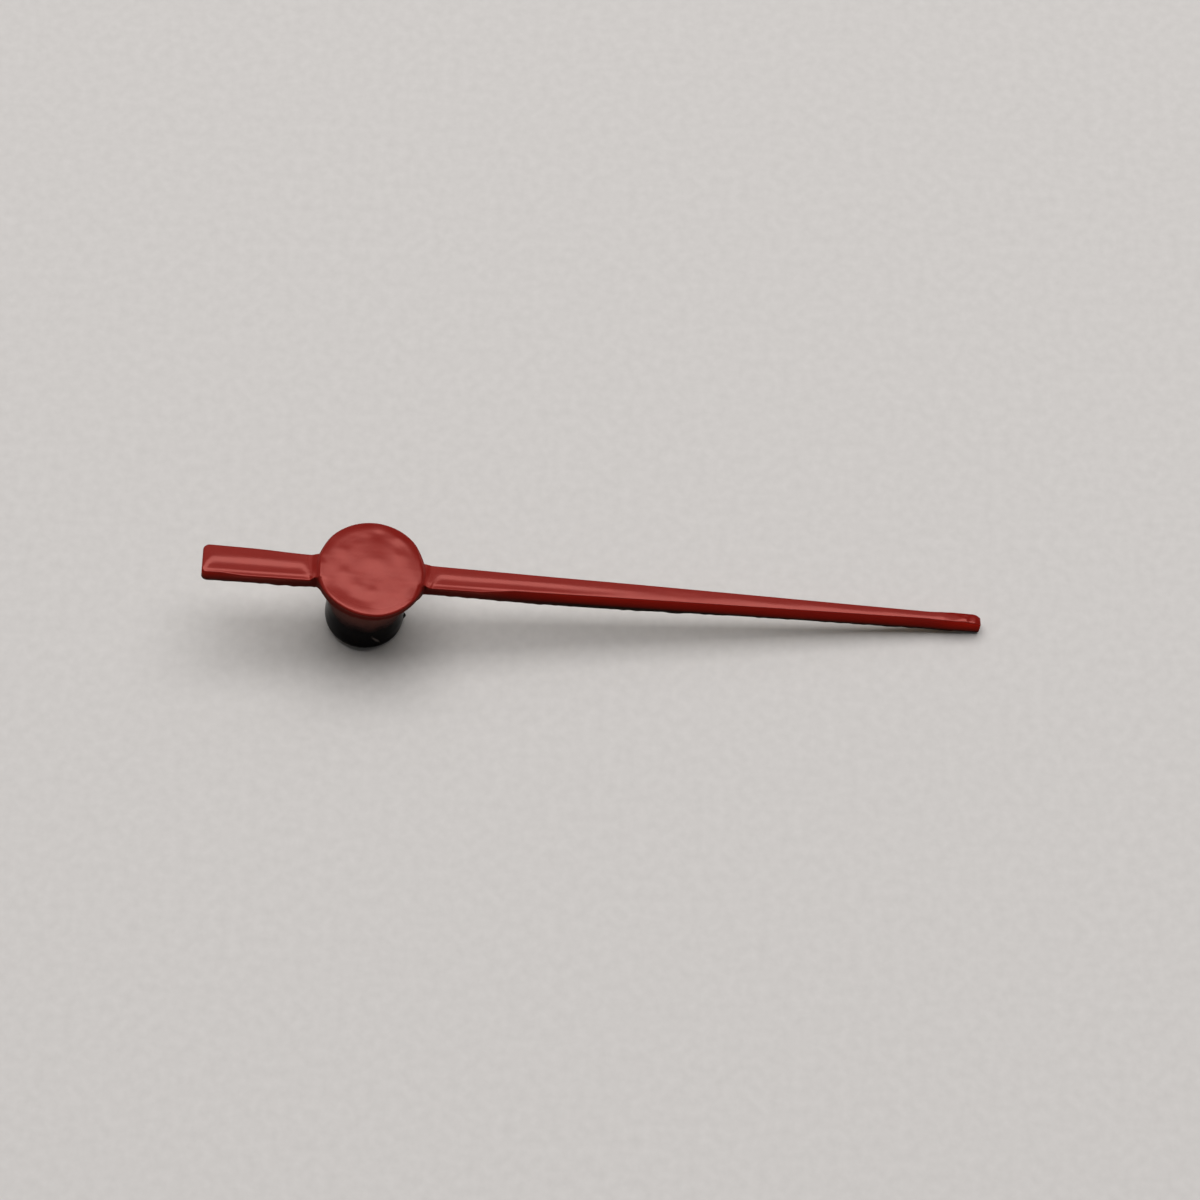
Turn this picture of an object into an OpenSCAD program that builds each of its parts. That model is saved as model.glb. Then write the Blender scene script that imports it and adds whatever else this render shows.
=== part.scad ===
// Small watch hand with a closed boss, as used on a counter dial. A blade is stamped
// from brass sheet, a turned pipe is riveted into its boss from below, and a coat of
// lacquer covers the top and the sides of the blade.
// All sizes are millimetres. The origin is the centre of the pipe's lower end. +Z runs
// up the bore to the lacquered face, and +X runs along the needle to its tip.

/* [Blade] */
// Thickness of the brass sheet
sheet_t = 0.11; // [0.06:0.01:0.2]
// Length of the needle's metal, from the bore's axis to the tip
needle_len = 4.68; // [3:0.01:8]
// Width that the needle's straight edges would have at the bore's axis
needle_root_w = 0.175; // [0.12:0.001:0.3]
// Width of the needle's metal at its tip
needle_tip_w = 0.041; // [0.035:0.001:0.1]
// Length of the counterweight tail's metal, from the bore's axis
tail_len = 1.25; // [0.8:0.01:2.5]
// Width that the tail's straight edges would have at the bore's axis
tail_root_w = 0.176; // [0.12:0.001:0.3]
// Width of the tail's metal at its end
tail_end_w = 0.212; // [0.12:0.001:0.4]
// Radius on the two corners at the tail's end
tail_corner_r = 0.03; // [0.02:0.005:0.05]

/* [Boss] */
// Diameter of the boss's metal
boss_d = 0.788; // [0.7:0.001:1.4]
// Thickness of the boss, which the press thins
boss_t = 0.07; // [0.06:0.01:0.1]
// Height of the boss's underside above that of the sheet
boss_raise = 0.07; // [0.01:0.01:0.08]

/* [Pipe] */
// Outside diameter of the pipe
pipe_d = 0.598; // [0.56:0.001:0.68]
// Length of the pipe, from its lower end to its shoulder under the boss
pipe_len = 0.62; // [0.5:0.01:1.5]
// Chamfer on the outside of the pipe's lower end
pipe_chamfer = 0.012; // [0.005:0.001:0.03]

/* [Bore] */
// Diameter of the blind bore, pressed on the arbor
bore_d = 0.25; // [0.15:0.01:0.32]
// Depth of the bore to its flat bottom, from the pipe's lower end
bore_depth = 0.45; // [0.3:0.01:0.5]
// Chamfer at the bore's mouth, which leads the arbor in
bore_chamfer = 0.015; // [0.005:0.001:0.03]

/* [Rivet] */
// Diameter of the spigot where it enters the boss from below
spigot_d = 0.34; // [0.2:0.01:0.38]
// Diameter to which riveting spreads the spigot at the boss's top face
spread_d = 0.42; // [0.4:0.01:0.45]
// Diameter of the spigot's spread head on top of the boss
head_d = 0.50; // [0.46:0.01:0.6]
// Height of the spread head above the boss's metal
head_h = 0.008; // [0.005:0.001:0.02]

/* [Lacquer] */
// Thickness of the coat on top of the needle and the tail
coat_top = 0.021; // [0.01:0.001:0.04]
// Thickness of the coat on the blade's edges
coat_side = 0.02; // [0.006:0.001:0.025]
// Thickness of the coat on top of the boss
coat_boss = 0.02; // [0.016:0.001:0.06]
// Radius that surface tension gives the coat's upper edges on the needle and tail
arm_round = 0.018; // [0.005:0.001:0.02]
// Radius that surface tension gives the coat's upper edge round the boss
boss_round = 0.025; // [0.01:0.005:0.05]

/* [Hidden] */

$fn = 96;
round_steps = 4;
cut = 0.05;

boss_bottom = pipe_len;
boss_top = boss_bottom + boss_t;
arm_bottom = boss_bottom - boss_raise;
rivet_taper = (spread_d - spigot_d) / boss_t;

// Points of a quarter round of radius r, from the side at height h - r to the top at h
function quarter(side, h, r) =
    [for (i = [0 : round_steps])
        let (a = 90 * i / round_steps)
        [side - r + r * cos(a), h - r + r * sin(a)]];

// Outline of the tail, grown by grow on every edge, with round corners at its end
module tail_outline(grow) {
    r = tail_corner_r + grow;
    root = tail_root_w / 2 + grow;
    end = tail_end_w / 2 + grow;
    far = -(tail_len + grow);
    polygon([[0, root], [far + r, end], [far + r, -end], [0, -root]]);
    translate([far, r - end]) square([2 * r, 2 * (end - r)]);
    for (side = [-1, 1])
        translate([far + r, side * (end - r)]) circle(r);
}

// Outline of the needle, grown by grow on every edge
module needle_outline(grow) {
    root = needle_root_w / 2 + grow;
    tip = needle_tip_w / 2 + grow;
    far = needle_len + grow;
    polygon([[0, -root], [far, -tip], [far, tip], [0, root]]);
}

// The needle and the tail as stamped, reaching below their underside by under
module arms(under = 0) {
    translate([0, 0, arm_bottom - under])
        linear_extrude(sheet_t + under) {
            tail_outline(0);
            needle_outline(0);
        }
}

// The raised boss, reaching below its underside by under
module boss(under = 0) {
    translate([0, 0, boss_bottom - under]) cylinder(d = boss_d, h = boss_t + under);
}

// The coat over one arm. Its child is the arm's outline, which it draws once for each
// step of the rounded upper edge, grown by $grow.
module arm_coat() {
    translate([0, 0, arm_bottom])
        hull()
            for (p = quarter(coat_side, sheet_t + coat_top, arm_round))
                let ($grow = p[0], $fn = 24)
                    linear_extrude(p[1]) children();
}

// The coat over the boss, as a solid disc with a rounded upper edge
module boss_coat() {
    edge = quarter(boss_d / 2 + coat_side, boss_t + coat_boss, boss_round);
    translate([0, 0, boss_bottom])
        rotate_extrude()
            polygon(concat([[0, 0], [edge[0][0], 0]], edge, [[0, boss_t + coat_boss]]));
}

// The tapered hole through the boss, which the spread spigot fills
module rivet_hole() {
    translate([0, 0, boss_bottom - cut])
        cylinder(
            d1 = spigot_d - rivet_taper * cut,
            d2 = spread_d + rivet_taper * cut,
            h = boss_t + 2 * cut
        );
}

// The stamped brass: needle, counterweight tail, and the boss with its rivet hole
module blade() {
    color("goldenrod")
        difference() {
            union() {
                difference() {
                    arms();
                    translate([0, 0, arm_bottom - cut])
                        cylinder(d = boss_d, h = boss_raise + cut);
                }
                boss();
            }
            rivet_hole();
        }
}

// The turned pipe: blind bore, shoulder under the boss, spigot and its spread head
module pipe() {
    outer_r = pipe_d / 2;
    bore_r = bore_d / 2;
    color("dimgray")
        rotate_extrude()
            polygon([
                [0, bore_depth],
                [bore_r, bore_depth],
                [bore_r, bore_chamfer],
                [bore_r + bore_chamfer, 0],
                [outer_r - pipe_chamfer, 0],
                [outer_r, pipe_chamfer],
                [outer_r, boss_bottom],
                [spigot_d / 2, boss_bottom],
                [spread_d / 2, boss_top],
                [head_d / 2, boss_top],
                [head_d / 2 - head_h, boss_top + head_h],
                [0, boss_top + head_h]
            ]);
}

// The coat of lacquer: it lies on the blade and the rivet head, and stops flush with
// the blade's bare underside
module lacquer() {
    color("firebrick")
        difference() {
            union() {
                arm_coat() tail_outline($grow);
                arm_coat() needle_outline($grow);
                boss_coat();
            }
            arms(under = cut);
            boss(under = boss_raise + cut);
            pipe();
        }
}

blade();
pipe();
lacquer();
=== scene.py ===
import math

import bpy
import numpy as np
from mathutils import Matrix, Vector, noise


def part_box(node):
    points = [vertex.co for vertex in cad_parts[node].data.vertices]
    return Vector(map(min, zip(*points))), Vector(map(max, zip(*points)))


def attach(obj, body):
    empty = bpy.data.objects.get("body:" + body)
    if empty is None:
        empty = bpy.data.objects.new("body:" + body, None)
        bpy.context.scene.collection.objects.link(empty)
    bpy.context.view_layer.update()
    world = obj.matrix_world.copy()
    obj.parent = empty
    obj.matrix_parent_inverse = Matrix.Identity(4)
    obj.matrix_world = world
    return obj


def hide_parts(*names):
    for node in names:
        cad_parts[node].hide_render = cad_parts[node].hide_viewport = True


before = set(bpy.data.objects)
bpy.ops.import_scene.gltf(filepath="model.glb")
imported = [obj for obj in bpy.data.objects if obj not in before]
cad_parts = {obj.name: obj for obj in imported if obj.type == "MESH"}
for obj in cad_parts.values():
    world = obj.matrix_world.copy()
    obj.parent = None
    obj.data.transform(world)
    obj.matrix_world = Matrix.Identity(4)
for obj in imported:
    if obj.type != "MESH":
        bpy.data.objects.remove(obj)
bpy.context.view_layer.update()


# The pipe: a short tube turned from brass rod, with a blind bore that is pressed on the
# arbor. It is blackened and glossy, and under the boss a soft brown is painted in, a
# painted reflection of the lit bench. Its spigot passes up through the blade and is riveted over.
MM = 0.001
BORE_RADIUS = 0.125
BORE_DEPTH = 0.45
BORE_CHAMFER = 0.015
SPIGOT_RADIUS = 0.17
SPREAD_RADIUS = 0.21
HEAD_RADIUS = 0.25
HEAD_CHAMFER = 0.008
BOSS_SHEET = 0.07
RIM_ROUND = 0.040
CREASE = math.radians(50)
PIPE_STEP = 0.008
PIPE_AROUND = 180
NEAR_AXIS = 0.001

pipe_low, pipe_high = (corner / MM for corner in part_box("pipe"))
blade_low, blade_high = (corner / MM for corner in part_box("blade"))
pipe_radius = pipe_high.x
boss_metal_top = blade_high.z
boss_metal_low = boss_metal_top - BOSS_SHEET


def new_object(name, data):
    """An object that stands in the scene."""
    made = bpy.data.objects.new(name, data)
    bpy.context.scene.collection.objects.link(made)
    return made


def skin(name, rings):
    """A closed mesh over rings with equally many points, given in millimetres. Rings run
    anticlockwise, seen from where the last one lies, and a fan closes each end."""
    rings = np.asarray(rings, float)
    count, around = rings.shape[:2]
    middles = rings[[0, -1]].mean(axis=1)
    points = np.vstack([rings.reshape(-1, 3), middles]) * MM
    here = np.arange(around)
    there = np.roll(here, -1)
    quads = [
        np.stack([here, there, there + around, here + around], axis=1) + i * around
        for i in range(count - 1)
    ]
    faces = np.vstack(quads).tolist()
    last = (count - 1) * around
    for a, b in zip(here.tolist(), there.tolist()):
        faces.append((count * around, b, a))
        faces.append((count * around + 1, last + a, last + b))
    mesh = bpy.data.meshes.new(name)
    mesh.from_pydata(points.tolist(), [], faces)
    mesh.shade_smooth()
    mesh.set_sharp_from_angle(angle=CREASE)
    return new_object(name, mesh)


def rounded(corners, cut=0.004, steps=4):
    """A profile through corners (r, z, size), each rounded off by a small curve."""
    line = [np.array(corners[0][:2])]
    for before, corner, after in zip(corners, corners[1:], corners[2:]):
        here = np.array(corner[:2])
        size = corner[2] if len(corner) > 2 else cut
        ways = [np.array(other[:2]) - here for other in (before, after)]
        start, end = (here + way / np.linalg.norm(way) * size for way in ways)
        for i in range(steps + 1):
            t = i / steps
            line.append((1 - t) ** 2 * start + 2 * t * (1 - t) * here + t * t * end)
    line.append(np.array(corners[-1][:2]))
    return np.array(line)


def ripple(points, size, seed):
    """Smooth random values of about -0.5 to 0.5 at points, whose waves are size wide. Each
    seed takes them from a place of its own in the noise."""
    shift = Vector((seed * 7.3, seed * 3.1, seed * 5.7))
    flat = np.reshape(points, (-1, 3)) / size
    values = [noise.noise(Vector(p) + shift) for p in flat.tolist()]
    return np.reshape(values, np.shape(points)[:-1])


def mound(distance, size):
    """A bell curve: 1 at no distance, and nearly 0 from twice its size on."""
    return np.exp(-((distance / size) ** 2))


def fade(distance, reach):
    """A curve that falls from 1 at no distance to 0 at its reach, ever less steeply."""
    return np.clip(1 - distance / reach, 0, 1) ** 2


profile = rounded([
    (NEAR_AXIS, BORE_DEPTH),
    (BORE_RADIUS, BORE_DEPTH),
    (BORE_RADIUS, BORE_CHAMFER),
    (BORE_RADIUS + BORE_CHAMFER, 0),
    (pipe_radius, 0, RIM_ROUND),
    (pipe_radius, boss_metal_low),
    (SPIGOT_RADIUS, boss_metal_low),
    (SPREAD_RADIUS, boss_metal_top),
    (HEAD_RADIUS, boss_metal_top),
    (HEAD_RADIUS - HEAD_CHAMFER, pipe_high.z),
    (NEAR_AXIS, pipe_high.z),
])
runs = np.linalg.norm(np.diff(profile, axis=0), axis=1)
reach = np.concatenate([[0], np.cumsum(runs)])
stops = np.union1d(reach, np.arange(0, reach[-1], PIPE_STEP))
radii = np.interp(stops, reach, profile[:, 0])[:, None]
heights = np.interp(stops, reach, profile[:, 1])[:, None]
turn = 2 * np.pi * np.arange(PIPE_AROUND) / PIPE_AROUND
rings = np.stack([radii * np.cos(turn), radii * np.sin(turn), heights + 0 * turn], axis=2)

# The outer wall is a little uneven. Its swell and its waves are shares of its radius.
OUTER_FROM = 0.27
OUTER_SPAN = 0.02
WALL_SWELL = 0.012
WALL_WAVE = 0.010
WALL_WAVE_SIZE = 0.12

outer = np.clip((radii - OUTER_FROM) / OUTER_SPAN, 0, 1)
growth = outer * (WALL_SWELL + WALL_WAVE * ripple(rings, WALL_WAVE_SIZE, 1))
rings[..., :2] *= 1 + growth[..., None]

# The lower rim is worn back over one stretch, and a burr stands out a little above it
WORN_ANGLE = math.radians(302)
WORN_SPAN = math.radians(24)
WORN_DEPTH = 0.012
WORN_HEIGHT = 0.06
BURR_OUT = 0.006
BURR_HEIGHT = 0.06
BURR_SIZE = 0.022

rim = outer * fade(heights, WORN_HEIGHT)
rings[..., 2] += rim * WORN_DEPTH * mound(turn - WORN_ANGLE, WORN_SPAN)
burr = np.array([pipe_radius + BURR_OUT, 0, BURR_HEIGHT])
rings[..., 0] += BURR_SIZE * mound(np.linalg.norm(rings - burr, axis=2), BURR_SIZE)

# The pipe is riveted on a hair out of square
OUT_OF_SQUARE = 0.014

rings[..., 1] += OUT_OF_SQUARE * np.clip(1 - rings[..., 2] / boss_metal_low, 0, 1)
pipe = skin("turned_pipe", rings)

# Blackened brass. The black is glossy but gives back little light. Higher up, under the boss,
# a soft brown is a painted reflection of the lit bench, and a greyer streak on the front is a painted
# highlight.
THICK_BLACK = "#050303"
REFLECTED_BROWN = "#5c3630"
GLINT_GREY = "#5a524e"
BLACK_UP_TO = 0.30
BROWN_FROM = 0.50
BLOT_SIZE = 0.1
BLOT_HEIGHT = 0.12
STREAK_PLACE = Vector((0.105, -0.283, 0.128))
STREAK_WAY = Vector((0.092, 0.034, -0.135))
STREAK_HALF_WIDTH = 0.018
STREAK_HALF_LENGTH = 0.8 * STREAK_WAY.length
# Inputs and output of a Mix node for its two colours and their mixture
MIX_A = 6
MIX_B = 7
MIX_RESULT = 2


def srgb(code, alpha=1.0):
    """The linear colour of an sRGB hex code such as "#c08040"."""
    parts = [int(code[i : i + 2], 16) / 255 for i in (1, 3, 5)]
    linear = [c / 12.92 if c <= 0.04045 else ((c + 0.055) / 1.055) ** 2.4 for c in parts]
    return (*linear, alpha)


def add(tree, kind, inputs=None, **settings):
    """Adds a node to a tree. Each setting is a property of the node, and inputs maps an
    input to its value, or to the socket that feeds it."""
    node = tree.nodes.new(kind)
    for key, value in settings.items():
        setattr(node, key, value)
    for key, value in (inputs or {}).items():
        if isinstance(value, bpy.types.NodeSocket):
            tree.links.new(value, node.inputs[key])
        else:
            node.inputs[key].default_value = value
    return node


def new_material(name):
    """An empty material and its node tree."""
    material = bpy.data.materials.new(name)
    material.use_nodes = True
    material.node_tree.nodes.clear()
    return material, material.node_tree


blackened, tree = new_material("blackened_brass_gloss")
place = add(tree, "ShaderNodeTexCoord").outputs["Object"]
height = add(tree, "ShaderNodeSeparateXYZ", {"Vector": place})
blots = add(tree, "ShaderNodeTexNoise", {"Vector": place, "Scale": 1 / (BLOT_SIZE * MM), "Detail": 3.0})
ragged = add(
    tree,
    "ShaderNodeMath",
    {0: blots.outputs["Fac"], 1: BLOT_HEIGHT * MM, 2: height.outputs["Z"]},
    operation="MULTIPLY_ADD",
)
# Painted reflection: a soft brown over the upper pipe, with a ragged lower edge, stands in for the lit bench
# it mirrors
painted_reflection_band = add(
    tree,
    "ShaderNodeMapRange",
    {"Value": ragged.outputs[0], "From Min": BLACK_UP_TO * MM, "From Max": BROWN_FROM * MM},
    interpolation_type="SMOOTHSTEP",
)
tone = add(
    tree,
    "ShaderNodeMix",
    {"Factor": painted_reflection_band.outputs["Result"], MIX_A: srgb(THICK_BLACK), MIX_B: srgb(REFLECTED_BROWN)},
    data_type="RGBA",
)
# Painted highlight: a small greyer streak on the front of the pipe
on_streak = add(
    tree,
    "ShaderNodeMapping",
    {
        "Vector": place,
        "Location": STREAK_PLACE * MM,
        "Rotation": STREAK_WAY.to_track_quat("Z", "Y").to_euler(),
        "Scale": Vector((STREAK_HALF_WIDTH, STREAK_HALF_WIDTH, STREAK_HALF_LENGTH)) * MM,
    },
    vector_type="TEXTURE",
)
streak = add(tree, "ShaderNodeTexGradient", {"Vector": on_streak.outputs[0]}, gradient_type="SPHERICAL")
painted_glint = add(
    tree,
    "ShaderNodeMapRange",
    {"Value": streak.outputs["Fac"], "From Max": 0.6},
    interpolation_type="SMOOTHSTEP",
)
tone = add(
    tree,
    "ShaderNodeMix",
    {"Factor": painted_glint.outputs["Result"], MIX_A: tone.outputs[MIX_RESULT], MIX_B: srgb(GLINT_GREY)},
    data_type="RGBA",
)
rough = add(tree, "ShaderNodeMapRange", {"Value": painted_reflection_band.outputs["Result"], "To Min": 0.2, "To Max": 0.42})
gloss = add(
    tree,
    "ShaderNodeBsdfPrincipled",
    {
        "Base Color": tone.outputs[MIX_RESULT],
        "Roughness": rough.outputs["Result"],
        "Specular IOR Level": 0.02,
    },
)
add(tree, "ShaderNodeOutputMaterial", {"Surface": gloss.outputs[0]})
pipe.data.materials.append(blackened)
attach(pipe, "root")
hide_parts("pipe")


# The blade: needle, boss and tail stamped in one piece from brass sheet. The press pushes
# the boss up out of the sheet, and its tool rolls the edges of the bare underside.
SHEET = 0.11
TAIL_ROOT = 0.088
TAIL_END = 0.106
NEEDLE_ROOT = 0.0875
NEEDLE_TIP = 0.0205
METAL_CORNERS = (0.03, 0.008)
CORNER_FILLET = 0.05
RAISE_SPAN = 0.05
DIE_ROLL = 0.014
FINE_STEP = 0.0015
WIDE_STEP = 0.012
FINE_REACH = 0.08
POINTS_ACROSS = 33

tail_end, needle_end = blade_low.x, blade_high.x
boss_metal = blade_high.y
raise_height = boss_metal_low - blade_low.z


def smooth_max(a, b, reach):
    """The larger of two values, with a smooth passage where they differ by under reach."""
    near = np.maximum(reach - abs(a - b), 0) / reach
    return np.maximum(a, b) + near * near * reach / 4


def ease(value):
    """A smooth step from 0 to 1 as value goes from 0 to 1."""
    t = np.clip(value, 0, 1)
    return t * t * (3 - 2 * t)


def round_off(distance, size):
    """How far a rounded edge has dropped at a distance inside the edge."""
    left = np.clip(size - distance, 0, size)
    return size - np.sqrt(size * size - left * left)


def arm_half(x, grow):
    """Half the width of the tail or the needle, grown on every edge."""
    tail = TAIL_ROOT + (TAIL_END - TAIL_ROOT) * x / tail_end
    needle = NEEDLE_ROOT + (NEEDLE_TIP - NEEDLE_ROOT) * x / needle_end
    return np.where(x < 0, tail, needle) + grow


def half_width(x, grow, corners, shift=0):
    """Half the hand's width at x. corners are the plan radii at the tail's end and tip, and
    shift moves the boss along."""
    arm = arm_half(x, grow)
    arm = arm - round_off(x - (tail_end - grow), corners[0])
    arm = arm - round_off(needle_end + grow - x, corners[1])
    disc = np.sqrt(np.maximum((boss_metal + grow) ** 2 - (x - shift) ** 2, 0))
    return smooth_max(disc, arm, CORNER_FILLET)


def raised(x):
    """The share of the boss's rise at x: 0 along the arms and 1 across the boss."""
    join = np.sqrt(boss_metal**2 - TAIL_ROOT**2)
    return ease((join - abs(x)) / RAISE_SPAN + 0.5)


def stations(start, end, fine):
    """Places from start to end, which lie closer together near each of fine."""
    x = start
    places = [start]
    while x < end:
        near = min(abs(x - place) for place in fine)
        x = min(end, x + FINE_STEP + (WIDE_STEP - FINE_STEP) * min(1, near / FINE_REACH))
        places.append(x)
    return np.array(places)


def underside_and_sheet(x):
    """Height of the sheet's underside along the hand, and its thickness there."""
    low = blade_low.z + raise_height * raised(x)
    thick = SHEET + (BOSS_SHEET - SHEET) * raised(x)
    return low[:, None], thick[:, None]


def bands(x, y, z):
    """Rings from the heights and the widths of each section along the hand."""
    return np.stack([np.broadcast_to(x[:, None], y.shape), y, z], axis=2)


x = stations(tail_end, needle_end, (tail_end, -boss_metal, boss_metal, needle_end))
half = half_width(x, 0, METAL_CORNERS)[:, None]
low, thick = underside_and_sheet(x)
across = np.cos(np.linspace(0, np.pi, POINTS_ACROSS))
under_y = half * across[::-1]
under_z = low + round_off(half - abs(under_y), DIE_ROLL)
over_z = low + thick + 0 * under_y
blade = skin("stamped_blade", bands(x, np.hstack([half * across, under_y]), np.hstack([over_z, under_z])))

# Cartridge brass sheet, rolled and left bare: a soft yellow sheen with a fine grain that
# runs the way the sheet was rolled, along the needle.
BRASS_DARK = "#a8823e"
BRASS_PALE = "#cfa75c"
GRAIN_LENGTH = 0.4
GRAIN_WIDTH = 0.012

brass, tree = new_material("rolled_brass_sheet")
place = add(tree, "ShaderNodeTexCoord").outputs["Object"]
grain_scale = [1 / (size * MM) for size in (GRAIN_LENGTH, GRAIN_WIDTH, GRAIN_WIDTH)]
along = add(tree, "ShaderNodeMapping", {"Vector": place, "Scale": grain_scale})
grain = add(tree, "ShaderNodeTexNoise", {"Vector": along.outputs[0], "Scale": 1.0, "Detail": 4.0})
tone = add(
    tree,
    "ShaderNodeMix",
    {"Factor": grain.outputs["Fac"], MIX_A: srgb(BRASS_DARK), MIX_B: srgb(BRASS_PALE)},
    data_type="RGBA",
)
rough = add(tree, "ShaderNodeMapRange", {"Value": grain.outputs["Fac"], "To Min": 0.22, "To Max": 0.42})
sheen = add(
    tree,
    "ShaderNodeBsdfPrincipled",
    {"Base Color": tone.outputs[MIX_RESULT], "Roughness": rough.outputs["Result"], "Metallic": 1.0},
)
add(tree, "ShaderNodeOutputMaterial", {"Surface": sheen.outputs[0]})
blade.data.materials.append(brass)
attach(blade, "root")
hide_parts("blade")


# The lacquer: red lacquer brushed over the blade's top and edges and over the rivet head.
# It dries in uneven pools with fat edges, climbs against the boss, gathers in a bead at the
# tip and hangs in small beads along its lower edge. The rivet head shows as a soft ring.
COAT_SIDE = 0.020
COAT_ARM = 0.021
BOSS_SHIFT = 0.008
END_CORNER = 0.042
TIP_CORNER = 0.006
BOSS_EDGE = 0.018
ARM_EDGE = 0.012
TIP_EDGE = 0.007
STEEP = 4

coat_low, coat_high = (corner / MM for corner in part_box("lacquer"))
boss_radius = boss_metal + COAT_SIDE
boss_top = coat_high.z
arm_top = blade_low.z + SHEET + COAT_ARM


def past(value, place):
    """A smooth step from 0 to 1. A place is where it starts and how long it is, and its
    length is negative where it climbs towards lower values."""
    start, length = place
    return ease((value - start) / length)


def inset(side, end, corner):
    """Distance from a point to an arm's outline, from its distances to side and end."""
    return corner - np.hypot(np.maximum(corner - side, 0), np.maximum(corner - end, 0))


def lump(x, y, place_x, place_y, reach, height):
    """Height of a round lump, or of a dent where its height is negative."""
    return height * mound(np.hypot(x - place_x, y - place_y), reach)


# The coat's outline in plan. Its near upper edge stands out over the foot of its side from
# the tail to the needle's root, and is set back from there on. Its far one stands out on
# the tail and the boss, and is set back at the tip. The bead at the tip is a little wider
# than the needle and has a sharper edge.
LIP_PLACES = (-1.12, -0.95, 0.85, 1.1, 4.3, 4.6)
LIP_SIZES = (0.0, 0.017, 0.017, -0.012, -0.018, -0.002)
LIP_START = 0.04
BOSS_LIP = 0.02
BOSS_BACK = 0.010
TAIL_SWELL = 0.011
TAIL_SWELLS = (-0.5, -0.4)
TIP_TRIM = 0.020
TIP_TRIM_REACH = 0.06
BEAD_WIDTH = 0.006
BEAD_WIDENS = (4.25, 0.25)
TIP_SHARPENS = (4.42, 0.06)


def over_boss(x):
    """Half the boss's width at x, as a share of its radius."""
    across = np.clip((x - BOSS_SHIFT) / boss_radius, -1, 1)
    return np.sqrt(1 - across * across)


def lip(x):
    """How far the coat's near upper edge stands out over the foot of its side, or is set
    back where this is negative."""
    arms = np.interp(x, LIP_PLACES, LIP_SIZES) * past(abs(x), (boss_radius, LIP_START))
    return arms + BOSS_LIP * over_boss(x)


def trim(x):
    """How far the coat's far edge is set back on the arms."""
    return TIP_TRIM * fade(coat_high.x - x, TIP_TRIM_REACH) - TAIL_SWELL * past(x, TAIL_SWELLS)


def bead_half(x):
    """How much a bead of lacquer widens the coat on each side at the needle's tip."""
    return BEAD_WIDTH * past(x, BEAD_WIDENS)


def edge_size(x):
    """Radius of the coat's upper edges along the arms."""
    return ARM_EDGE + (TIP_EDGE - ARM_EDGE) * past(x, TIP_SHARPENS)


# The sunk pools on the tail and the first part of the needle lean to the far side. Each
# has two steps down to its near side: the place of a step as a share of the half width, its
# height and width, its bend at the pool's ends, and how much it grows along the needle.
POOL_STEPS = ((0.0, 0.0105, 0.030, 14, 0), (-0.80, 0.0034, 0.0105, 0, 0.6))
POOL_HALF = 0.12
POOL_LEAN = 0.13
POOL_GAP = 0.03
POOL_BEND_REACH = 0.10
POOL_WIDENS = (0.6, 0.8)
FAR_FROM_END = 1


def pools(x, y, half, beyond):
    """Relief of the sunk pools. beyond is the distance from the boss's edge."""
    inward = np.minimum(beyond - POOL_GAP, np.where(x < 0, x - coat_low.x, FAR_FROM_END))
    relief = -POOL_LEAN * y
    for place, height, width, bend, growth in POOL_STEPS:
        size = half / POOL_HALF * (1 + growth * past(x, POOL_WIDENS))
        shore = place * half - bend * np.maximum(POOL_BEND_REACH - inward, 0) ** 2
        relief = relief + height * size * (np.tanh((y - shore) / (width * size)) - 1) / 2
    return relief


# Further along the needle the coat is a crown, which leans to the far side and is flatter
# in one stretch. Its rise is a share of the half width.
CROWN_STARTS = (1.25, 1.0)
CROWN_RISE = 0.0625
CROWN_WIDTH = 1.6
CROWN_LEAN = 0.045
FLAT_PLACE = 2.4
FLAT_LENGTH = 0.7
FLAT_LOSS = 0.6
FLAT_LEAN = 0.008


def crown(x, y, half, share):
    """Relief of the needle's crown. share is the place across it, from -1 to 1."""
    flat = mound(x - FLAT_PLACE, FLAT_LENGTH)
    rise = half * CROWN_RISE * (1 - FLAT_LOSS * flat) * np.cos(np.pi * share / CROWN_WIDTH)
    return rise - (CROWN_LEAN + FLAT_LEAN * flat) * y


# The coat climbs against the boss: how far before it the climb starts, the length in which
# it bends up, and its slope. It is weaker on the far side. The arm's relief fades where it
# climbs, and its surface sinks again under the boss.
TAIL_CLIMB = (0.05, 0.02, 0.6)
NEEDLE_CLIMB = (0.06, 0.04, 0.35)
CLIMB_FAR_LOSS = 0.6
CLIMB_LEVELS = 0.8
CLIMB_LEVEL_REACH = 0.06
UNDER_BOSS = 0.03
# The ends of the arms: the coat drops to the tail's end and to the tip, and the bead before
# the tip is higher, leans to the far side and has a lump
TAIL_DROP = 0.014
TAIL_DROP_REACH = 0.08
TIP_DROP = 0.022
TIP_DROP_REACH = 0.065
BEAD_RISE = 0.010
BEAD_RISES = (4.30, 0.2)
BEAD_LEAN = 0.10
BEAD_LEANS = (4.38, 0.08)
BEAD_LUMP = (4.57, -0.015, 0.035, 0.012)


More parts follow.
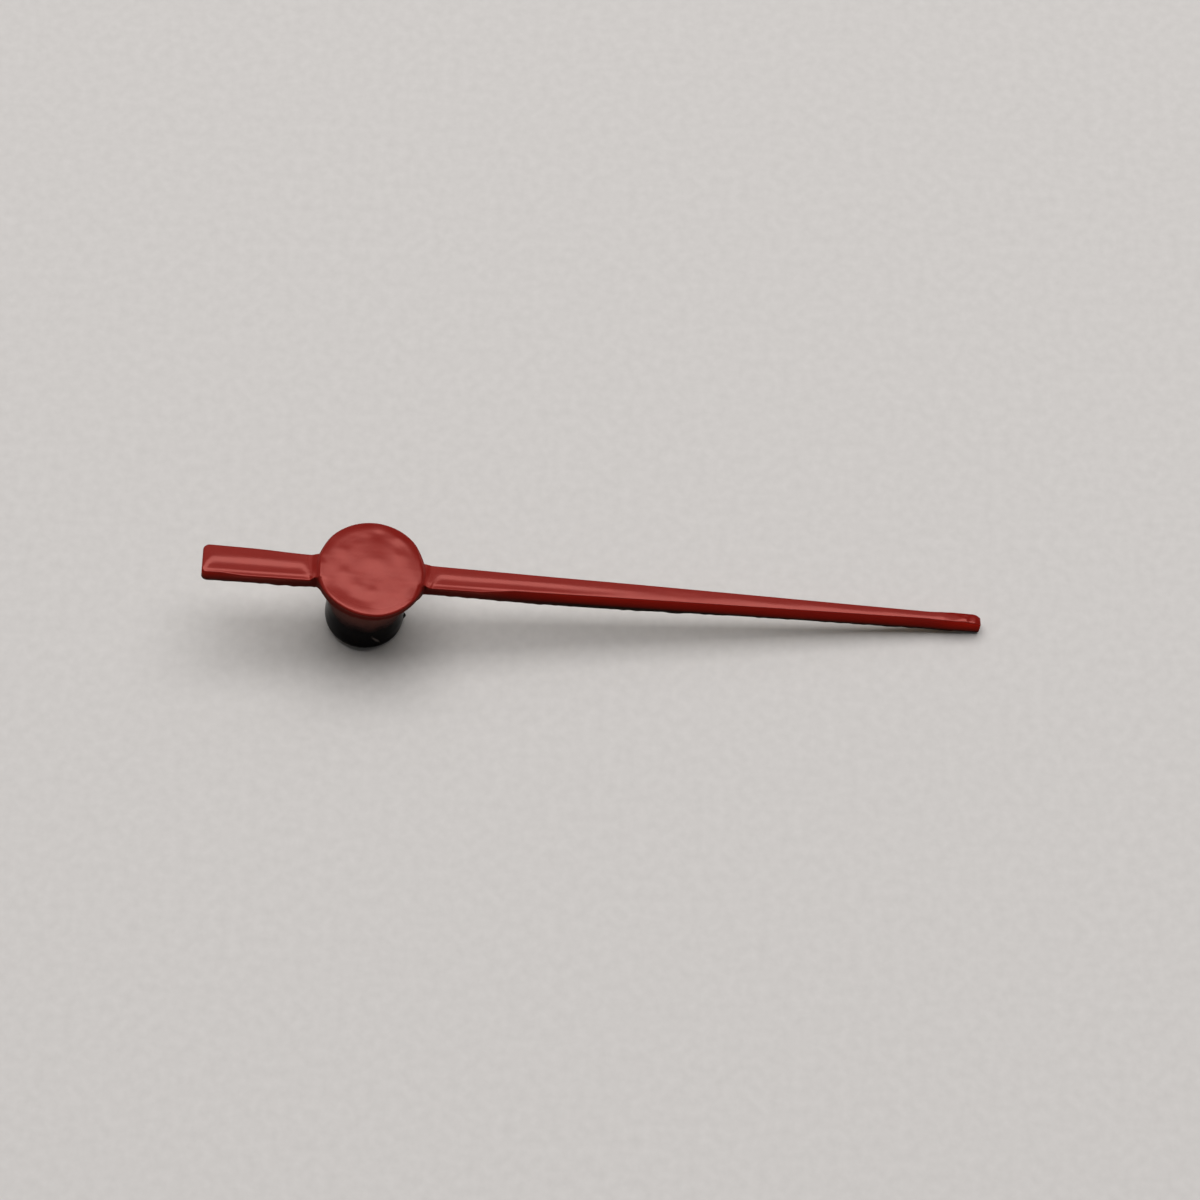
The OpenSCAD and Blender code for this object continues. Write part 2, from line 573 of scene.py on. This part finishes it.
def arm_surface(x, y):
    """Height of the lacquer over the tail and the needle."""
    half = arm_half(x, COAT_SIDE) + bead_half(x)
    share = np.clip(y / half, -1, 1)
    beyond = abs(x - BOSS_SHIFT) - boss_radius
    to_crown = past(x, CROWN_STARTS)
    relief = pools(x, y, half, beyond) * (1 - to_crown) + crown(x, y, half, share) * to_crown
    relief = relief - BEAD_LEAN * y * past(x, BEAD_LEANS)

    start, bend, slope = (np.where(x < 0, *sizes) for sizes in zip(TAIL_CLIMB, NEEDLE_CLIMB))
    ramp = np.maximum(start - beyond, 0)
    climb = slope * np.where(ramp < bend, ramp * ramp / (2 * bend), ramp - bend / 2)
    climb = climb * (1 - CLIMB_FAR_LOSS * ease(share))
    relief = relief * (1 - CLIMB_LEVELS * ease(ramp / CLIMB_LEVEL_REACH)) + climb
    relief = relief - np.maximum(-beyond - UNDER_BOSS, 0)

    relief = relief + BEAD_RISE * past(x, BEAD_RISES) + lump(x, y, *BEAD_LUMP)
    relief = relief - TAIL_DROP * fade(x - coat_low.x, TAIL_DROP_REACH)
    relief = relief - TIP_DROP * fade(coat_high.x - x, TIP_DROP_REACH)

    side = np.where(y > 0, half - trim(x) - y, half + lip(x) + y)
    to_tail_end = inset(side, x - coat_low.x, END_CORNER)
    to_tip = inset(side, coat_high.x - x, TIP_CORNER)
    edge = round_off(np.where(x < 0, to_tail_end, to_tip), edge_size(x))
    return arm_top + relief - edge - STEEP * np.maximum(-side, 0)


# The boss is domed over the rivet head and leans to the far side
DOME_RISE = 0.025
DOME_LEAN = 0.014
DOME_CURVE = 0.05
DOME_REACH = 0.3
HEAD_SHOW = 0.002
HEAD_SKIRT = 0.03
HEAD_SLOPE = 0.07
# Its rim sinks at the far side and towards the arms, is fat at the near side on the left,
# and droops on the right. A sector is the place of a smooth step in the cosine of the angle
# from the sector's middle.
FAR_SINK = 0.04
FAR_SINK_FROM = 0.29
FAR_SECTOR = (0.2, 0.5)
ARM_SINK = 0.9
ARM_SINK_FROM = 0.26
ARM_SINK_REACH = 0.15
ARM_SECTOR = (0.72, 0.23)
RIM_SWELLS = (
    # direction, sector, height, and the place of the step in the radius
    ((-0.4, -0.92), (0.3, 0.5), 0.0045, (0.285, 0.11)),
    ((0.6, -0.8), (0.75, 0.2), -0.010, (0.29, 0.12)),
)
LUMPS = (
    # x, y, reach and height of each lump or dent
    (-0.21, -0.35, 0.11, 0.010),
    (-0.10, -0.17, 0.05, 0.005),
    (-0.24, 0.14, 0.06, 0.005),
    (0.19, 0.27, 0.05, 0.008),
    (0.22, 0.12, 0.06, 0.006),
    (0.05, 0.07, 0.10, 0.008),
    (-0.21, -0.06, 0.045, 0.004),
    (0.02, -0.215, 0.04, 0.005),
    (0.04, 0.30, 0.05, -0.006),
)
# Its edge is rounder towards the arms, and its far side has a bevel
ROUNDER_SECTOR = (0.8, 0.2)
ROUNDER_TO_TAIL = 0.012
ROUNDER_TO_NEEDLE = 0.030
BEVEL_SECTOR = (0.2, 0.4)
BEVEL_WIDTH = 0.07
BEVEL_SOFT = 0.02
BEVEL_SLOPE = 0.24
# A radius is never quite zero, so that it can be divided by
LEAST_RADIUS = 1e-6


def boss_surface(x, y):
    """Height of the lacquer over the boss, which goes on as a steep slope outside it."""
    x = x - BOSS_SHIFT
    y = y * boss_radius / (boss_radius + np.where(y < 0, BOSS_LIP, BOSS_BACK))
    r = np.hypot(x, y) + LEAST_RADIUS
    top = boss_top + DOME_RISE - DOME_LEAN * y - DOME_CURVE * np.minimum(r, DOME_REACH) ** 2
    top = top + HEAD_SHOW * past(r, (HEAD_RADIUS + HEAD_SKIRT, -HEAD_SLOPE))
    top = top - FAR_SINK * past(y / r, FAR_SECTOR) * np.maximum(r - FAR_SINK_FROM, 0)
    for (way_x, way_y), sector, height, band in RIM_SWELLS:
        top = top + height * past((way_x * x + way_y * y) / r, sector) * past(r, band)
    sunk = np.clip(r - ARM_SINK_FROM, 0, ARM_SINK_REACH) ** 2
    top = top - ARM_SINK * past(abs(x) / r, ARM_SECTOR) * sunk
    for sizes in LUMPS:
        top = top + lump(x, y, *sizes)

    inside = boss_radius - r
    rounder = past(abs(x) / r, ROUNDER_SECTOR) * np.where(x < 0, ROUNDER_TO_TAIL, ROUNDER_TO_NEEDLE)
    bevel = past(y / r, BEVEL_SECTOR) * smooth_max(BEVEL_WIDTH - inside, 0, BEVEL_SOFT)
    top = top - BEVEL_SLOPE * bevel
    return top - round_off(inside, BOSS_EDGE + rounder) - STEEP * np.maximum(-inside, 0)


# The top of the coat, over both surfaces, with the soft waves of the boss and the fine ones
# that the brush left along the hand. Two stations lie close together where the metal ends.
METAL_GAP = 0.0001
EDGE_SHARE = 0.45
POINTS_ROUND_EDGE = 11
POINTS_OVER_TOP = 75
SURFACES_MEET = 0.03
BOSS_WAVE = 0.0025
BOSS_WAVE_SIZE = 0.11
BOSS_WAVE_EDGE = 0.1
BRUSH_WAVE = 0.0004
BRUSH_WAVE_SIZE = 0.035
BRUSH_STRETCH = 0.12

fine = (coat_low.x, BOSS_SHIFT - boss_radius, BOSS_SHIFT + boss_radius, coat_high.x)
x = stations(coat_low.x, coat_high.x, fine)
x = np.union1d(x, [end + gap for end in (tail_end, needle_end) for gap in (-METAL_GAP, METAL_GAP)])
half = half_width(x, COAT_SIDE, (END_CORNER, TIP_CORNER), BOSS_SHIFT)
half = (half + bead_half(x))[:, None]
edge = np.where(abs(x - BOSS_SHIFT) < boss_radius, BOSS_EDGE, edge_size(x))[:, None]
edge = np.minimum(edge, EDGE_SHARE * half)

far_half = half + (BOSS_BACK * over_boss(x) - trim(x))[:, None]
near_half = half + lip(x)[:, None]
bend = edge * (1 - np.cos(np.linspace(0, np.pi / 2, POINTS_ROUND_EDGE)))
share = np.linspace(0, 1, POINTS_OVER_TOP + 2)[1:-1]
middle = (far_half - edge) * (1 - share) - (near_half - edge) * share
top_y = np.hstack([far_half - bend, middle, bend[:, ::-1] - near_half])
top_x = x[:, None] + 0 * top_y
top_z = smooth_max(arm_surface(top_x, top_y), boss_surface(top_x, top_y), SURFACES_MEET)
spots = np.stack([top_x, top_y, 0 * top_y], axis=2)
on_boss = past(abs(top_x), (boss_radius, -BOSS_WAVE_EDGE))
top_z += BOSS_WAVE * ripple(spots, BOSS_WAVE_SIZE, 2) * on_boss
top_z += BRUSH_WAVE * ripple(spots * (BRUSH_STRETCH, 1, 1), BRUSH_WAVE_SIZE, 3)

# The coat's sides, with their lower edges. Each bead is a height, a size and a seed.
BEADS = ((0.012, 0.06, 4), (0.010, 0.18, 7))
BEADS_OVER = 0.002
BEADS_END = 0.4
SAG = 0.030
SAG_PLACE = 1.6
SAG_LENGTH = 0.9
SAG_STARTS = (0.5, 0.5)
FOOT_LIFT = 0.016
FOOT_LIFTS = (4.43, 0.1)
SWELL_DEPTH = 0.6
CURL = 0.010
TIP_STEP = 0.002
TIP_STEPS = (4.43, 0.03)
TIP_STEP_DEPTH = 0.5
POINTS_DOWN = 16

low, thick = underside_and_sheet(x)
down = np.linspace(0, 1, POINTS_DOWN + 1)[1:]
line = np.stack([x, 0 * x, 0 * x], axis=1)
away_from_tip = ease((coat_high.x - x) / BEADS_END)


def wall(side, top_edge, slope):
    """The coat's side, which swells out from its upper edge by slope and curls in below,
    down to its beaded lower edge. The coat sags along one stretch of the needle, and at the
    tip its foot is lifted and its near side stands out."""
    bead = sum(height * ripple(line, size, seed + side) for height, size, seed in BEADS)
    bead = (bead * away_from_tip)[:, None]
    sag = (SAG * mound(x - SAG_PLACE, SAG_LENGTH) * past(x, SAG_STARTS))[:, None]
    lifted = (FOOT_LIFT * past(x, FOOT_LIFTS))[:, None]
    foot = low - sag - np.clip(bead + BEADS_OVER, 0, None) + lifted
    swell = slope * (1 - fade(down, SWELL_DEPTH))
    curl = CURL * fade(1 - down, 1 - SWELL_DEPTH)
    step = TIP_STEP * (side < 0) * past(x, TIP_STEPS)[:, None] * ease(down / TIP_STEP_DEPTH)
    return side * (half - slope + swell - curl + step), top_edge + (foot - top_edge) * down


far_y, far_z = wall(1, top_z[:, :1], half - far_half)
near_y, near_z = wall(-1, top_z[:, -1:], half - near_half)

# The hollow in the coat, which the blade and the rivet head fill
POINTS_INSIDE = 25
HEAD_HOLLOW = 0.009

metal_half = half_width(x, 0, METAL_CORNERS)[:, None]
over_metal = ((x > tail_end) & (x < needle_end))[:, None]
inner_y = metal_half * np.linspace(-1, 1, POINTS_INSIDE)
over_head = np.hypot(x[:, None], inner_y) < HEAD_RADIUS
inner_z = low + over_metal * (thick + HEAD_HOLLOW * over_head)
foot_y = np.hstack([-metal_half, metal_half])
foot_z = low + 0 * foot_y

ring_y = np.hstack([far_y[:, ::-1], top_y, near_y, foot_y[:, :1], inner_y, foot_y[:, 1:]])
ring_z = np.hstack([far_z[:, ::-1], top_z, near_z, foot_z[:, :1], inner_z, foot_z[:, 1:]])
lacquer = skin("lacquer_coat", bands(x, ring_y, ring_z))

# Nitrocellulose lacquer, brushed thin over brass. It lets some of the metal's shine
# through, so it is deep red where it faces dark and a soft pink-red where it faces light.
# Its skin is a little yellowed, and on the boss it is thicker and softer. The sides are
# dull, and their colour is painted shade: evenly dark by the boss, and clear of it red at the
# top and nearly black at the foot.
RED_DEEP = "#80110a"
RED_BRIGHT = "#8a160d"
SHADE_AT_FOOT = "#140000"
SIDE_AT_TOP = "#c41e0a"
SHADE_BY_BOSS = "#4c0503"
YELLOWED = "#fffaec"
CLOUD_SIZE = 1 / 11
FOOT_HEIGHT = 0.02
BY_BOSS = 0.72
CLEAR_OF_BOSS = 1.7
BRUSH_STARTS = 0.80
BRUSH_FULL = 0.88
SKIN_INSIDE = 0.02
SKIN_OUTSIDE = 0.03

red, tree = new_material("brushed_red_lacquer")
place = add(tree, "ShaderNodeTexCoord").outputs["Object"]
cloud = add(tree, "ShaderNodeTexNoise", {"Vector": place, "Scale": 1 / (CLOUD_SIZE * MM), "Detail": 3.0})
tone = add(
    tree,
    "ShaderNodeMix",
    {"Factor": cloud.outputs["Fac"], MIX_A: srgb(RED_DEEP), MIX_B: srgb(RED_BRIGHT)},
    data_type="RGBA",
)
surface = add(tree, "ShaderNodeNewGeometry")
facing = add(tree, "ShaderNodeSeparateXYZ", {"Vector": surface.outputs["Normal"]}).outputs["Z"]
height = add(tree, "ShaderNodeSeparateXYZ", {"Vector": place}).outputs["Z"]
from_axis = add(tree, "ShaderNodeVectorMath", {0: place}, operation="LENGTH").outputs["Value"]
# Painted shade: faces that turn away from the top get the darker side colour, darkest at the foot and by the
# boss
side_shade_mask = add(
    tree,
    "ShaderNodeMapRange",
    {"Value": facing, "From Min": -0.1, "From Max": 0.7},
    interpolation_type="SMOOTHSTEP",
)
up_side = add(
    tree,
    "ShaderNodeMapRange",
    {"Value": height, "From Min": (blade_low.z + FOOT_HEIGHT) * MM, "From Max": arm_top * MM},
)
painted_side_shade = add(
    tree,
    "ShaderNodeMix",
    {"Factor": up_side.outputs["Result"], MIX_A: srgb(SHADE_AT_FOOT), MIX_B: srgb(SIDE_AT_TOP)},
    data_type="RGBA",
)
clear = add(
    tree,
    "ShaderNodeMapRange",
    {"Value": from_axis, "From Min": BY_BOSS * MM, "From Max": CLEAR_OF_BOSS * MM},
)
painted_side_shade = add(
    tree,
    "ShaderNodeMix",
    {
        "Factor": clear.outputs["Result"],
        MIX_A: srgb(SHADE_BY_BOSS),
        MIX_B: painted_side_shade.outputs[MIX_RESULT],
    },
    data_type="RGBA",
)
tone = add(
    tree,
    "ShaderNodeMix",
    {
        "Factor": side_shade_mask.outputs["Result"],
        MIX_A: painted_side_shade.outputs[MIX_RESULT],
        MIX_B: tone.outputs[MIX_RESULT],
    },
    data_type="RGBA",
)
metal = add(
    tree,
    "ShaderNodeMapRange",
    {"Value": facing, "From Min": 0.1, "From Max": 0.8, "To Min": 0.9, "To Max": 0.22},
    interpolation_type="SMOOTHSTEP",
)
brushed = add(
    tree,
    "ShaderNodeMapRange",
    {
        "Value": from_axis,
        "From Min": BRUSH_STARTS * MM,
        "From Max": BRUSH_FULL * MM,
        "To Min": 0.3,
        "To Max": 0.21,
    },
)
rough = add(
    tree,
    "ShaderNodeMapRange",
    {"Value": facing, "From Min": 0.5, "From Max": 0.95, "To Min": 0.8, "To Max": brushed.outputs["Result"]},
    interpolation_type="SMOOTHSTEP",
)
thick_skin = add(
    tree,
    "ShaderNodeMapRange",
    {
        "Value": from_axis,
        "From Min": (boss_radius - SKIN_INSIDE) * MM,
        "From Max": (boss_radius + SKIN_OUTSIDE) * MM,
        "To Min": 0.16,
        "To Max": 0.0,
    },
)
film = add(
    tree,
    "ShaderNodeBsdfPrincipled",
    {
        "Base Color": tone.outputs[MIX_RESULT],
        "Roughness": rough.outputs["Result"],
        "Metallic": metal.outputs["Result"],
        "Specular IOR Level": 0.42,
        "Specular Tint": srgb(YELLOWED),
        "Coat Weight": thick_skin.outputs["Result"],
        "Coat Roughness": 0.3,
    },
)
add(tree, "ShaderNodeOutputMaterial", {"Surface": film.outputs[0]})
lacquer.data.materials.append(red)
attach(lacquer, "root")
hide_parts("lacquer")


# The bench: a sheet of plain pale card. The hand leans on it with its pipe's lower rim
# and its tip, so the card is tilted in the hand's own frame. It fades out into a backdrop
# of the same grey, and it is seen only from above.
CARD_GREY = "#cac6c3"
CARD_PALE = "#d7d3d0"
BACKDROP_GREY = "#cfccc9"
CARD_RADIUS = 40 * MM
CARD_SIDES = 96
CARD_FADES = (0.4, 0.95)
PAPER_GRAIN = 1 / 12

rim_touch = Vector((pipe_high.x, 0, pipe_low.z)) * MM
tip_touch = Vector((coat_high.x, 0, blade_low.z)) * MM
lean = math.atan2(tip_touch.z - rim_touch.z, tip_touch.x - rim_touch.x)
bench_turn = Matrix.Rotation(-lean, 4, "Y")

angles = [2 * math.pi * i / CARD_SIDES for i in range(CARD_SIDES)]
outline = [(CARD_RADIUS * math.cos(a), CARD_RADIUS * math.sin(a), 0) for a in angles]
bench_mesh = bpy.data.meshes.new("bench")
bench_mesh.from_pydata(outline, [], [tuple(range(CARD_SIDES))])
bench = new_object("bench", bench_mesh)
bench.matrix_world = Matrix.Translation(rim_touch) @ bench_turn

# Uncoated card, pressed smooth: matt, with faint soft clouds in its grey
card, tree = new_material("pale_card")
place = add(tree, "ShaderNodeTexCoord").outputs["Object"]
paper = add(tree, "ShaderNodeTexNoise", {"Vector": place, "Scale": 1 / (PAPER_GRAIN * MM), "Detail": 2.0})
tint = add(
    tree,
    "ShaderNodeMix",
    {"Factor": paper.outputs["Fac"], MIX_A: srgb(CARD_GREY), MIX_B: srgb(CARD_PALE)},
    data_type="RGBA",
)
face = add(tree, "ShaderNodeBsdfDiffuse", {"Color": tint.outputs[MIX_RESULT]})
nothing = add(tree, "ShaderNodeBsdfTransparent")
geometry = add(tree, "ShaderNodeNewGeometry")
from_middle = add(tree, "ShaderNodeVectorMath", {0: place}, operation="LENGTH")
fade_start, fade_end = (share * CARD_RADIUS for share in CARD_FADES)
faded = add(
    tree,
    "ShaderNodeMapRange",
    {"Value": from_middle.outputs["Value"], "From Min": fade_start, "From Max": fade_end},
    interpolation_type="SMOOTHSTEP",
)
gone = add(
    tree,
    "ShaderNodeMath",
    {0: faded.outputs["Result"], 1: geometry.outputs["Backfacing"]},
    operation="MAXIMUM",
)
sheet = add(tree, "ShaderNodeMixShader", {0: gone.outputs[0], 1: face.outputs[0], 2: nothing.outputs[0]})
add(tree, "ShaderNodeOutputMaterial", {"Surface": sheet.outputs[0]})
bench_mesh.materials.append(card)

# The backdrop behind the bench. Metal mirrors it up to its soft top edge, given as the
# sine of an angle above the horizon, and above that edge it mirrors the dim room.
BACKDROP_TOP = 0.15
BACKDROP_SOFT = 0.10
ROOM_STRENGTH = 0.095

world = bpy.data.worlds.new("studio")
bpy.context.scene.world = world
world.use_nodes = True
tree = world.node_tree
tree.nodes.clear()
rays = add(tree, "ShaderNodeLightPath").outputs
way = add(tree, "ShaderNodeTexCoord").outputs["Generated"]
rise = add(tree, "ShaderNodeSeparateXYZ", {"Vector": way}).outputs["Z"]
below_top = add(
    tree,
    "ShaderNodeMapRange",
    {
        "Value": rise,
        "From Min": BACKDROP_TOP - BACKDROP_SOFT,
        "From Max": BACKDROP_TOP,
        "To Min": 1.0,
        "To Max": 0.0,
    },
    interpolation_type="SMOOTHSTEP",
)
mirrored = {0: rays["Is Glossy Ray"], 1: below_top.outputs["Result"]}
mirrored = add(tree, "ShaderNodeMath", mirrored, operation="MULTIPLY")
direct = {0: rays["Is Camera Ray"], 1: rays["Is Transmission Ray"]}
direct = add(tree, "ShaderNodeMath", direct, operation="MAXIMUM")
shown = {0: direct.outputs[0], 1: mirrored.outputs[0]}
shown = add(tree, "ShaderNodeMath", shown, operation="MAXIMUM")
room = add(tree, "ShaderNodeBackground", {"Color": srgb("#ffffff"), "Strength": ROOM_STRENGTH})
backdrop = add(tree, "ShaderNodeBackground", {"Color": srgb(BACKDROP_GREY), "Strength": 1.0})
seen = {0: shown.outputs[0], 1: room.outputs[0], 2: backdrop.outputs[0]}
seen = add(tree, "ShaderNodeMixShader", seen)
add(tree, "ShaderNodeOutputWorld", {"Surface": seen.outputs[0]})


# The light: a broad soft box overhead and a fainter one behind it, both a little to the
# right. Each is a width and a height in mm, a rise above the bench in degrees and a power.
BOXES = ((130, 82, 76, 0.1165), (130, 40, 43, 0.008))
LIGHT_DISTANCE = 100 * MM
LIGHT_SWING = math.radians(2)

for wide, tall, rise, power in BOXES:
    lamp_data = bpy.data.lights.new("soft_box", "AREA")
    lamp_data.shape = "RECTANGLE"
    lamp_data.size = wide * MM
    lamp_data.size_y = tall * MM
    lamp_data.energy = power
    lamp = new_object("soft_box", lamp_data)
    lift = math.radians(90 - rise)
    swing = bench_turn @ Matrix.Rotation(LIGHT_SWING, 4, "Y") @ Matrix.Rotation(-lift, 4, "X")
    lamp.matrix_world = swing @ Matrix.Translation((0, 0, LIGHT_DISTANCE))


# The camera: a long macro lens, which looks down on the bench from the front.
LENS = 135
SENSOR_WIDTH = 36
VIEW_DOWN = math.radians(57.99)
VIEW_PAN = math.radians(1.836)
VIEW_ROLL = math.radians(-0.73)
VIEW_DISTANCE = 34.264 * MM
VIEW_AIM = Vector((1.7608, -0.0767, 0.65)) * MM

camera_data = bpy.data.cameras.new("camera")
camera_data.lens = LENS
camera_data.sensor_width = SENSOR_WIDTH
camera_data.clip_start = 1 * MM
camera_data.clip_end = 1
camera = new_object("camera", camera_data)
bpy.context.scene.camera = camera
pan = Matrix.Rotation(VIEW_PAN, 4, "Z")
tilt = Matrix.Rotation(math.pi / 2 - VIEW_DOWN, 4, "X")
camera_turn = bench_turn @ pan @ tilt @ Matrix.Rotation(VIEW_ROLL, 4, "Z")
look = camera_turn @ Vector((0, 0, -1))
camera.matrix_world = Matrix.Translation(VIEW_AIM - look * VIEW_DISTANCE) @ camera_turn
bpy.context.scene.view_settings.view_transform = "Standard"
